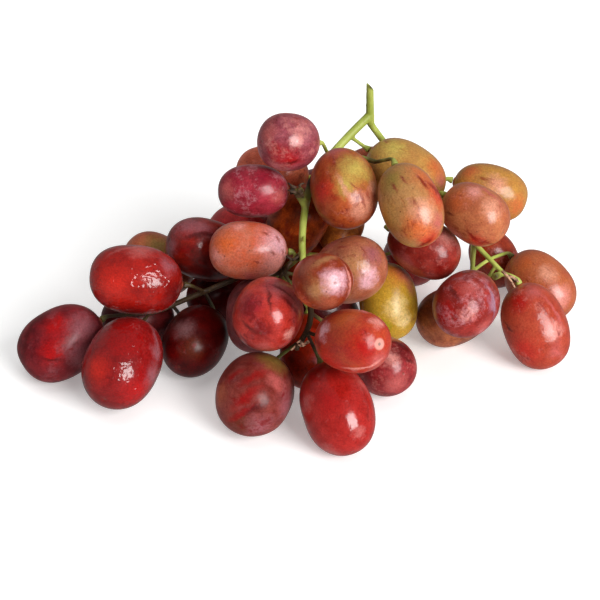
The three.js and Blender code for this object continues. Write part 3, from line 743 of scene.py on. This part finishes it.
def skin_material(name, recipe, grape):
    """One grape's skin, its marks laid over each other in this order."""
    material, tree = new_material("grape_skin_" + name)
    place = add_node(tree, "Attribute", {}, attribute_name="grape_mm").outputs["Vector"]
    own_part = [value * PATTERN_SPREAD for value in grape["middle"]]
    here = add_node(tree, "VectorMath", {0: place, 1: own_part}, operation="ADD").outputs[0]
    shake = edge_noise(tree, here)
    colour, clouds = cloud_skin(tree, here, recipe)
    colour = add_patches_and_highlights(tree, colour, shaken(tree, place, shake, PATCH_WANDER), recipe, grape)
    colour, bloom = add_bloom(tree, colour, here, recipe)
    colour = add_strokes(tree, colour, here, recipe)
    colour = add_smears_and_rims(tree, colour, shaken(tree, place, shake, SMEAR_WANDER), recipe, grape)
    colour = add_specks(tree, colour, here, clouds, recipe)
    colour, grain = add_grain(tree, colour, here)
    colour = add_ends(tree, colour, place, name, grape)
    surface = skin_surface(tree, colour, here, bloom, grain, recipe)
    add_node(tree, "OutputMaterial", {"Surface": surface.outputs[0]})
    return material


# The stalk's shape and pattern, sizes in mm
STALK_VOXEL = 0.34
STALK_SMOOTHING = 6  # how often it is smoothed
STALK_TONE_SIZE = 9  # size of its lighter and darker parts
STALK_GRAIN_SIZE = 0.9
RAG_SIZE = 0.9  # size of the crumbs of dried stalk
RAG_SEED = 1  # makes the crumbs the same each run
DRY_AND_SHADE_FADE = 1.4  # a browned place, dried stalk and painted shade alike, is gone at this many times its reach
SEEN_WITHIN = 6  # pixels: how close to a pixel the stalk counts as seen there

# Where the stalk is browned: the pixel, how far round it in mm, how brown from 0 to 1, and how ragged in mm.
# The small ragged places have dried; the wide places from (310, 320) to (118, 317) are painted shade where
# the stems run deep in the bunch
DRY_AND_SHADED_PLACES = [
    (298, 190, 4.2, 1, 0.6),
    (288, 189, 4, 1, 0.2),
    (292, 260, 2.2, 1, 0.4),
    (300, 345, 5, 1, 0.3),
    (494, 277, 1.6, 0.9, 0.2),
    (517, 281, 2.6, 1, 0.4),
    (516, 252, 3, 0.8, 0),
    (369, 84, 1.2, 0.8, 0),
    # From here to (118, 317): painted shade on the stems deep in the bunch
    (310, 320, 17, 1, 0),
    (280, 272, 9, 1, 0),
    (215, 288, 22, 1, 0),
    (165, 312, 28, 1, 0),
    (118, 317, 12, 1, 0),
    (313, 172, 7, 1, 0),
    (370, 158, 6, 0.9, 0),
    (383, 161, 4, 0.7, 0),
]

# Dried husks of flowers and twigs: which is pale, and the pixels along it from the stalk to its end
HUSKS = [
    ("pale", [(309, 341), (303, 345), (296, 346), (291, 350)]),
    ("pale", [(304, 345), (300, 341), (297, 343)]),
    ("dark", [(292, 260), (289, 258), (286, 256)]),
    ("dark", [(292, 260), (296, 258), (299, 256)]),
    ("dark", [(291, 262), (288, 266), (287, 269)]),
    ("pale", [(502, 271), (508, 277), (512, 282), (515, 288)]),
    ("pale", [(508, 276), (514, 278), (519, 282)]),
    ("dark", [(296, 188), (292, 186), (288, 183)]),
    ("dark", [(296, 192), (292, 192), (288, 190)]),
    ("dark", [(299, 187), (301, 184), (304, 183)]),
]
HUSK_COLOURS = {"pale": "#c89a7c", "dark": "#4a3320"}
HUSK_SIDES = 8
HUSK_RADIUS = 0.6
HUSK_END_RADIUS = 0.25
HUSK_LIFT = 1.2  # how far in front of the stalk's middle a husk hangs

# The cut end of the stalk, slanted: the pixel that it passes, which way it faces, to the right and up, and
# how far round that pixel the stalk is cut, in mm
CUT_PIXEL = (371, 86)
CUT_FACING = (0.76, 0.65)
CUT_REACH = 5


# Fresh stalk: a green stem, smooth and a little fleshy, that dries brown where it is broken. The same browns
# are laid as painted shade where it runs deep in the bunch
def stalk_material():
    material, tree = new_material("stalk_fresh_green")
    place = add_node(tree, "TexCoord", {}).outputs["Object"]
    broad = add_node(tree, "TexNoise", {
        "Vector": place, "Scale": 1 / (STALK_TONE_SIZE * MM), "Detail": 4,
    }).outputs["Fac"]
    greens = add_node(tree, "MapRange", {"Value": broad, "From Min": 0.35, "From Max": 0.68}).outputs[0]
    colour = add_node(tree, "Mix", {
        MIX_SHARE: greens, MIX_FIRST: linear("#b4bc5e"), MIX_SECOND: linear("#8f9a3c"),
    }, data_type="RGBA").outputs[MIX_RESULT]
    grain = add_node(tree, "TexNoise", {
        "Vector": place, "Scale": 1 / (STALK_GRAIN_SIZE * MM), "Detail": 5,
    }).outputs["Fac"]
    russet = add_node(tree, "MapRange", {
        "Value": grain, "From Min": 0.6, "From Max": 0.75, "To Min": 0, "To Max": 0.6,
    }).outputs[0]
    colour = add_node(tree, "Mix", {
        MIX_SHARE: russet, MIX_FIRST: colour, MIX_SECOND: linear("#8a7038"),
    }, data_type="RGBA").outputs[MIX_RESULT]
    # browned where the stalk has dried, and browned as painted shade deep in the bunch
    dry_and_shaded = add_node(tree, "Attribute", {}, attribute_name="dryness_and_shade").outputs["Fac"]
    dried_and_shaded_browns = add_node(tree, "Mix", {
        MIX_SHARE: russet, MIX_FIRST: linear("#3c2a16"), MIX_SECOND: linear("#86603a"),
    }, data_type="RGBA").outputs[MIX_RESULT]
    colour = add_node(tree, "Mix", {
        MIX_SHARE: dry_and_shaded, MIX_FIRST: colour, MIX_SECOND: dried_and_shaded_browns,
    }, data_type="RGBA").outputs[MIX_RESULT]
    bump = add_node(tree, "Bump", {"Height": grain, "Strength": 0.35, "Distance": 0.2 * MM}).outputs[0]
    surface = add_node(tree, "BsdfPrincipled", {
        "Base Color": colour,
        "Roughness": 0.5,
        "IOR": 1.45,
        "Subsurface Weight": 0.2,
        "Subsurface Radius": (0.8 * MM, 1.2 * MM, 0.4 * MM),
        "Subsurface Scale": 1,
        "Normal": bump,
    })
    add_node(tree, "OutputMaterial", {"Surface": surface.outputs[0]})
    return material


def pixel_of(place):
    """The pixel of the picture at which a place is seen."""
    offset = place - EYE
    depth = -offset.dot(TO_VIEWER)
    across = FOCAL_PIXELS * offset.dot(VIEW_RIGHT) / depth
    up = FOCAL_PIXELS * offset.dot(VIEW_UP) / depth
    return PICTURE_SIDE / 2 + across, PICTURE_SIDE / 2 - up


def add_piece(name, mesh, material, node):
    """A piece that stands for a solid and rides with it."""
    piece = bpy.data.objects.new(name, mesh)
    bpy.context.scene.collection.objects.link(piece)
    mesh.materials.clear()
    mesh.materials.append(material)
    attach(piece, "root")
    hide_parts(node)
    return piece


def rounded_copy(node, name):
    """A copy of the stalk's solid with its facets and joints melted into round stems."""
    rough = bpy.data.objects.new(name, node.data.copy())
    bpy.context.scene.collection.objects.link(rough)
    rough.modifiers.new("melt", "REMESH").voxel_size = STALK_VOXEL * MM
    smooth = rough.modifiers.new("smooth", "SMOOTH")
    smooth.iterations = STALK_SMOOTHING
    evaluated = rough.evaluated_get(bpy.context.evaluated_depsgraph_get())
    mesh = bpy.data.meshes.new_from_object(evaluated)
    bpy.data.objects.remove(rough)
    mesh.shade_smooth()
    return mesh


def stalk_vertex_at(mesh, pixel):
    """The stalk's vertex that the camera sees at a pixel, the nearest to it where several lie there."""
    near = [v for v in mesh.vertices if math.dist(pixel_of(v.co), pixel) < SEEN_WITHIN]
    return min(near, key=lambda v: (v.co - EYE).length) if near else None


def cut_end(mesh):
    """Cuts the stalk's bare end off at a slant."""
    tip = stalk_vertex_at(mesh, CUT_PIXEL).co.copy()
    facing = (VIEW_RIGHT * CUT_FACING[0] + VIEW_UP * CUT_FACING[1]).normalized()
    for vertex in mesh.vertices:
        over = (vertex.co - tip).dot(facing)
        if over > 0 and (vertex.co - tip).length < CUT_REACH * MM:
            vertex.co -= VIEW_UP * over / VIEW_UP.dot(facing)


def add_stalk(node):
    """The stalk, browned and crumbled where it has dried, browned as painted shade deep in the bunch, and its
    husks.
    """
    mesh = rounded_copy(node, "rough_stalk")
    cut_end(mesh)
    dryness_and_shade = [0.0] * len(mesh.vertices)
    raggedness = [0.0] * len(mesh.vertices)
    # each place browns the stalk round it: dried stalk at the ragged ones, painted shade at the wide ones
    for x, y, reach, most, rag in DRY_AND_SHADED_PLACES:
        seen = stalk_vertex_at(mesh, (x, y))
        if not seen:
            continue
        middle = seen.co.copy()
        for vertex in mesh.vertices:
            share = min(1, max(0, DRY_AND_SHADE_FADE - (vertex.co - middle).length / MM / reach))
            dryness_and_shade[vertex.index] = max(dryness_and_shade[vertex.index], most * share)
            raggedness[vertex.index] = max(raggedness[vertex.index], rag * share)
    for vertex in mesh.vertices:
        shake = noise.noise_vector(vertex.co / (RAG_SIZE * MM))
        vertex.co += shake * raggedness[vertex.index] * MM
    mesh.attributes.new("dryness_and_shade", "FLOAT", "POINT").data.foreach_set("value", dryness_and_shade)
    add_piece("green_stalk", mesh, stalk_material(), "stalk")
    add_husks(mesh)


# Dried husk: thin, dead stalk, pale brown where light comes through it and nearly black where it has rotted
def husk_material(tone, hex_colour):
    material, tree = new_material("husk_" + tone)
    place = add_node(tree, "TexCoord", {}).outputs["Object"]
    crumbs = add_node(tree, "TexNoise", {
        "Vector": place, "Scale": 1 / (RAG_SIZE * MM), "Detail": 4,
    }).outputs["Fac"]
    dark = add_node(tree, "MapRange", {"Value": crumbs, "From Min": 0.4, "From Max": 0.7}).outputs[0]
    colour = add_node(tree, "Mix", {
        MIX_SHARE: dark, MIX_FIRST: linear(hex_colour), MIX_SECOND: linear("#2c1c10"),
    }, data_type="RGBA").outputs[MIX_RESULT]
    surface = add_node(tree, "BsdfPrincipled", {"Base Color": colour, "Roughness": 0.8})
    add_node(tree, "OutputMaterial", {"Surface": surface.outputs[0]})
    return material


def husk_tube(points):
    """The corners and faces of a closed, crumpled tube that thins out along a row of points."""
    corners, faces = [], []
    for index, point in enumerate(points):
        before, after = points[max(0, index - 1)], points[min(len(points) - 1, index + 1)]
        turn = (after - before).to_track_quat("Z", "Y")
        share = index / (len(points) - 1)
        radius = HUSK_RADIUS + (HUSK_END_RADIUS - HUSK_RADIUS) * share
        for side in range(HUSK_SIDES):
            angle = 2 * math.pi * side / HUSK_SIDES
            corner = point + turn @ Vector((math.cos(angle), math.sin(angle), 0)) * radius * MM
            corners.append(corner + noise.noise_vector(corner / (RAG_SIZE * MM)) * radius * MM / 2)
    for ring in range(len(points) - 1):
        low, high = ring * HUSK_SIDES, (ring + 1) * HUSK_SIDES
        for side in range(HUSK_SIDES):
            beside = (side + 1) % HUSK_SIDES
            faces.append((low + side, low + beside, high + beside, high + side))
    last = (len(points) - 1) * HUSK_SIDES
    faces.append(tuple(reversed(range(HUSK_SIDES))))
    faces.append(tuple(range(last, last + HUSK_SIDES)))
    return corners, faces


def add_husks(stalk_mesh):
    """Each husk hangs from the stalk's place at its first pixel, at that distance from the camera."""
    for tone, hex_colour in HUSK_COLOURS.items():
        corners, faces = [], []
        for husk_tone, pixels in HUSKS:
            root = stalk_vertex_at(stalk_mesh, pixels[0])
            if husk_tone != tone or not root:
                continue
            away = (root.co - EYE).length - HUSK_LIFT * MM
            tube_corners, tube_faces = husk_tube([EYE + sight_line(pixel) * away for pixel in pixels])
            faces += [tuple(len(corners) + index for index in face) for face in tube_faces]
            corners += tube_corners
        mesh = bpy.data.meshes.new("husks_" + tone)
        mesh.from_pydata(corners, [], faces)
        mesh.shade_smooth()
        mesh.materials.append(husk_material(tone, hex_colour))
        piece = bpy.data.objects.new("husks_" + tone, mesh)
        bpy.context.scene.collection.objects.link(piece)
        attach(piece, "root")


def add_grapes(nodes):
    """Each grape, with the end that lies nearer to the stalk as its stem end."""
    stalk_points = KDTree(len(nodes["stalk"].data.vertices))
    for vertex in nodes["stalk"].data.vertices:
        stalk_points.insert(vertex.co, vertex.index)
    stalk_points.balance()
    for place, recipe in SKINS.items():
        node = nodes["grape_" + place]
        grape = read_grape(node, stalk_points)
        mesh = grape_mesh("fruit_" + place, grape)
        add_piece("fruit_" + place, mesh, skin_material(place, recipe, grape), node.name)


TABLE_HALF = 4  # metres
TABLE_DROP = 0.1  # mm below the grapes that lie on it
TABLE_GLOW = 0.28  # evens out the light that falls off towards the picture's edge
ROOM_LIGHT = 0.2


# Pale table, plain and matt: it throws light up at the bunch but is too dull to show as a glare in the skins
def add_floor():
    material, tree = new_material("pale_table")
    surface = add_node(tree, "BsdfPrincipled", {
        "Base Color": linear("#fafaf9"),
        "Roughness": 0.6,
        "Emission Color": linear("#ffffff"),
        "Emission Strength": TABLE_GLOW,
    })
    add_node(tree, "OutputMaterial", {"Surface": surface.outputs[0]})
    mesh = bpy.data.meshes.new("table_top")
    corners = [(x * TABLE_HALF, y * TABLE_HALF, 0) for x, y in ((-1, -1), (1, -1), (1, 1), (-1, 1))]
    mesh.from_pydata(corners, [], [(0, 1, 2, 3)])
    mesh.materials.append(material)
    floor = bpy.data.objects.new("table_top", mesh)
    bpy.context.scene.collection.objects.link(floor)
    floor.location.z = -TABLE_DROP * MM
    floor.visible_glossy = False


def add_window(name, turn, elevation, distance, size, power, mirrored=True):
    """A soft area light that faces the bunch, turned to the viewer's right by an angle in degrees.

    Its distance and size are in metres and its power in watts. One that isn't mirrored lights the skins but
    doesn't show as a highlight in them.
    """
    lamp = bpy.data.lights.new(name, "AREA")
    lamp.shape = "RECTANGLE"
    lamp.size, lamp.size_y = size
    lamp.energy = power
    light = bpy.data.objects.new(name, lamp)
    light.visible_glossy = mirrored
    bpy.context.scene.collection.objects.link(light)
    a, e = math.radians(turn), math.radians(elevation)
    back = Vector((math.sin(a) * math.cos(e), -math.cos(a) * math.cos(e), math.sin(e)))
    light.location = VIEW_TARGET + back * distance
    light.rotation_euler = back.to_track_quat("Z", "Y").to_euler()


def add_light():
    """A window to the right, a wide ceiling light and a white room."""
    add_window("window_right", turn=41, elevation=29, distance=2.6, size=(1.4, 1.75), power=92)
    add_window("ceiling", turn=165, elevation=78, distance=3.2, size=(4.4, 4), power=54, mirrored=False)
    world = bpy.data.worlds.new("white_room")
    world.use_nodes = True
    background = world.node_tree.nodes["Background"]
    background.inputs["Color"].default_value = (1, 1, 1, 1)
    background.inputs["Strength"].default_value = ROOM_LIGHT
    bpy.context.scene.world = world
    bpy.context.scene.view_settings.view_transform = "Standard"


def add_camera():
    camera = bpy.data.objects.new("camera", bpy.data.cameras.new("camera"))
    bpy.context.scene.collection.objects.link(camera)
    camera.data.sensor_width = SENSOR_WIDTH
    camera.data.lens = SENSOR_WIDTH * FOCAL_PIXELS / PICTURE_SIDE
    camera.location = EYE
    camera.rotation_euler = TO_VIEWER.to_track_quat("Z", "Y").to_euler()
    bpy.context.scene.camera = camera


noise.seed_set(RAG_SEED)
add_camera()
add_grapes(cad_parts)
add_stalk(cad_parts["stalk"])
add_floor()
add_light()
